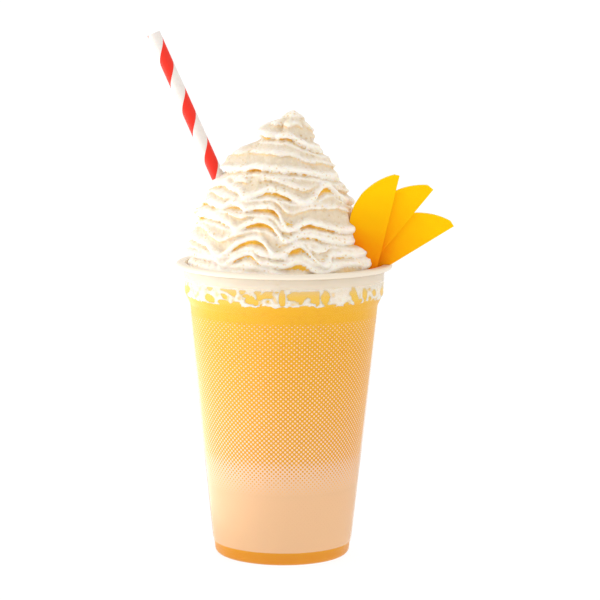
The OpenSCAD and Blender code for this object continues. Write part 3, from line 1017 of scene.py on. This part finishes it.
bandAway = paperNode("Math", "ABSOLUTE", {0: bandMiddle})
edgeStart, edgeEnd = straw["bandEdge"]
redShare = paperNode("MapRange", {
    "From Min": halfBand - edgeStart, "From Max": halfBand - edgeEnd, "To Min": 1, "To Max": 0},
    {"Value": bandAway})
fibre = paperNode("TexNoise", {"Scale": grainScale(straw["fibreSize"]), "Detail": 3}, {"Vector": along})
whiteTint = paperNode("Mix", {
    "data_type": "RGBA", 6: linear(straw["white"]), 7: linear(straw["whiteFibre"])}, {0: fibre})
redTint = paperNode("Mix", {"data_type": "RGBA", 6: linear(straw["red"]), 7: linear(straw["redFibre"])},
                    {0: fibre})
# Only the outside is printed
section = paperNode("CombineXYZ", links={"X": strawAxes.outputs["X"], "Y": strawAxes.outputs["Y"]})
fromAxis = paperNode("VectorMath", "LENGTH", {0: section})
outside = paperNode("Math", {"operation": "GREATER_THAN", 1: (straw["radius"] - straw["paper"] / 2) * mm},
                    {0: fromAxis.outputs["Value"]})
printedRed = paperNode("Math", "MULTIPLY", {0: redShare, 1: outside})
strawTint = paperNode("Mix", {"data_type": "RGBA"},
                      {0: printedRed, 6: whiteTint.outputs[2], 7: redTint.outputs[2]})
joinTo(strawTint.outputs[2], strawShader.inputs["Base Color"])
fibreBump = paperNode("Bump", {"Strength": 0.2, "Distance": straw["fibreDepth"] * mm}, {"Height": fibre})
joinTo(fibreBump, strawShader.inputs["Normal"])
finishPiece(bm, "paperStraw", strawPaper, "straw")

# The mango slices: halves of a lens, fanned out from the cream over the cup's lip. Lengths are in mm
slices = {
    "thickness": 3.6,
    "gap": 0.3,
    "backFront": 7,
    "fan": [  # name, length, width, chop, rise in degrees, tip out from the lip, tip up from the rim
        ("front", 51, 17.3, 1.0, 77, 2.2, 41.8),
        ("middle", 54, 15.9, 2.0, 51, 18.6, 36.0),
        ("back", 55, 17.9, 1.3, 32, 28.2, 18.4),
    ],
    "columns": 72,
    "rows": 26,
    "rounding": (0.7, 4, 40),
    "faceWobble": (0.0875, 0.12, 5.0),
    "edgeWobble": (0.4, 0.09, 3.0, 1.5),
    "lipClear": 0.1,
    "tipColour": "#ffcb00",
    "midColour": "#fbb400",
    "baseColour": "#ee7e00",
    "ripeTip": 1.18,         # how yellow the tip is, and how that falls along and across a slice
    "ripeAlong": 1.3,
    "ripeAcross": 0.12,
    "ripeEdge": 0.45,
    "ripeEdgeRange": (0.3, 0.75),
    "cloudSize": 8.333,
    "cloud": 0.12,
    "grainSize": 2,
    "grainDepth": 0.2,
}
# Ripe mango flesh, peeled and cut: wet, soft and full of colour, deeper towards the stone
mangoFlesh, mangoShader, fleshNode = startMaterial("ripe mango flesh, knife-cut", {
    "Roughness": 0.4, "IOR": 1.38, "Specular IOR Level": 0.08, "Subsurface Weight": 0.3,
    "Subsurface Radius": (1.0, 0.5, 0.08), "Subsurface Scale": 0.003})
fleshPlace = fleshNode("TexCoord").outputs["Object"]
ripe = fleshNode("Attribute", {"attribute_name": "ripe"}).outputs["Fac"]
cloud = fleshNode("TexNoise", {"Scale": grainScale(slices["cloudSize"]), "Detail": 2},
                  {"Vector": fleshPlace})
cloudShift = fleshNode("MapRange", {"To Min": -slices["cloud"], "To Max": slices["cloud"]},
                       {"Value": cloud})
ripeShare = fleshNode("Math", {"operation": "ADD", "use_clamp": True}, {0: ripe, 1: cloudShift})
lowHalf = fleshNode("MapRange", {"From Min": 0.0, "From Max": 0.5}, {"Value": ripeShare})
highHalf = fleshNode("MapRange", {"From Min": 0.5, "From Max": 1.0}, {"Value": ripeShare})
lowTint = fleshNode("Mix", {
    "data_type": "RGBA", 6: linear(slices["baseColour"]), 7: linear(slices["midColour"])}, {0: lowHalf})
fleshTint = fleshNode("Mix", {"data_type": "RGBA", 7: linear(slices["tipColour"])},
                      {0: highHalf, 6: lowTint.outputs[2]})
joinTo(fleshTint.outputs[2], mangoShader.inputs["Base Color"])
grain = fleshNode("TexNoise", {"Scale": grainScale(slices["grainSize"]), "Detail": 2},
                  {"Vector": fleshPlace})
grainBump = fleshNode("Bump", {"Strength": 0.15, "Distance": slices["grainDepth"] * mm}, {"Height": grain})
joinTo(grainBump, mangoShader.inputs["Normal"])

faceWobble, faceScale, faceAt = slices["faceWobble"]
edgeWobble, edgeScale, edgeStep, edgeAt = slices["edgeWobble"]
lipTop = cup["height"] + slices["lipClear"]
for order, (name, length, width, chop, riseAngle, tipOut, tipUp) in enumerate(slices["fan"]):
    radius = (length ** 2 / 4 + width ** 2) / (2 * width)
    bm = bmesh.new()
    ripeLayer = bm.verts.layers.float.new("ripe")
    bmesh.ops.create_grid(bm, x_segments=slices["columns"], y_segments=slices["rows"], size=1)
    for vert in bm.verts:
        s = chop + (length - 2 * chop) * (vert.co.x + 1) / 2
        d = (vert.co.y + 1) / 2
        arc = width - radius + math.sqrt(radius ** 2 - (s - length / 2) ** 2)
        vert.co = (s, d * arc, -slices["thickness"] / 2)
    result = bmesh.ops.extrude_face_region(bm, geom=bm.faces[:])
    bmesh.ops.translate(bm, vec=(0, 0, slices["thickness"]),
                        verts=[g for g in result["geom"] if isinstance(g, bmesh.types.BMVert)])
    bmesh.ops.recalc_face_normals(bm, faces=bm.faces)
    bmesh.ops.scale(bm, vec=(mm, mm, mm), verts=bm.verts)
    roundEdges(bm, *slices["rounding"])
    # Each slice is turned up on its edge, with its tip out beyond the lip
    yMiddle = (order - 2) * (slices["thickness"] + slices["gap"]) - slices["backFront"]
    t = math.radians(riseAngle)
    down = Vector((-math.cos(t), 0, -math.sin(t)))
    bulge = Vector((-math.sin(t), 0, math.cos(t)))
    tip = Vector((cup["lipRadius"] + tipOut, yMiddle, cup["height"] + tipUp))
    for vert in bm.verts:
        s, d, w = vert.co / mm
        edgeShare = smoothStep(*slices["ripeEdgeRange"], s / length)
        ripeness = (slices["ripeTip"] - slices["ripeAlong"] * s / length
                    + d / width * (slices["ripeAcross"] - slices["ripeEdge"] * edgeShare))
        vert[ripeLayer] = min(1.0, max(0.0, ripeness))
        w += faceWobble * rough(s * faceScale, d * faceScale, order * faceAt)
        d += edgeWobble * rough(s * edgeScale, order * edgeStep, edgeAt) * smoothStep(0.4, 1.0, d / width)
        point = tip + down * s + bulge * d + Vector((0, w, 0))
        far = math.hypot(point.x, point.y)
        if mouthRadius - slices["lipClear"] < far < cup["lipRadius"] and point.z < lipTop:
            point.z = lipTop
        vert.co = point * mm
    bm.normal_update()
    bmesh.ops.recalc_face_normals(bm, faces=bm.faces)
    finishPiece(bm, "mangoSlice_" + name, mangoFlesh, "mango_slice_" + name)
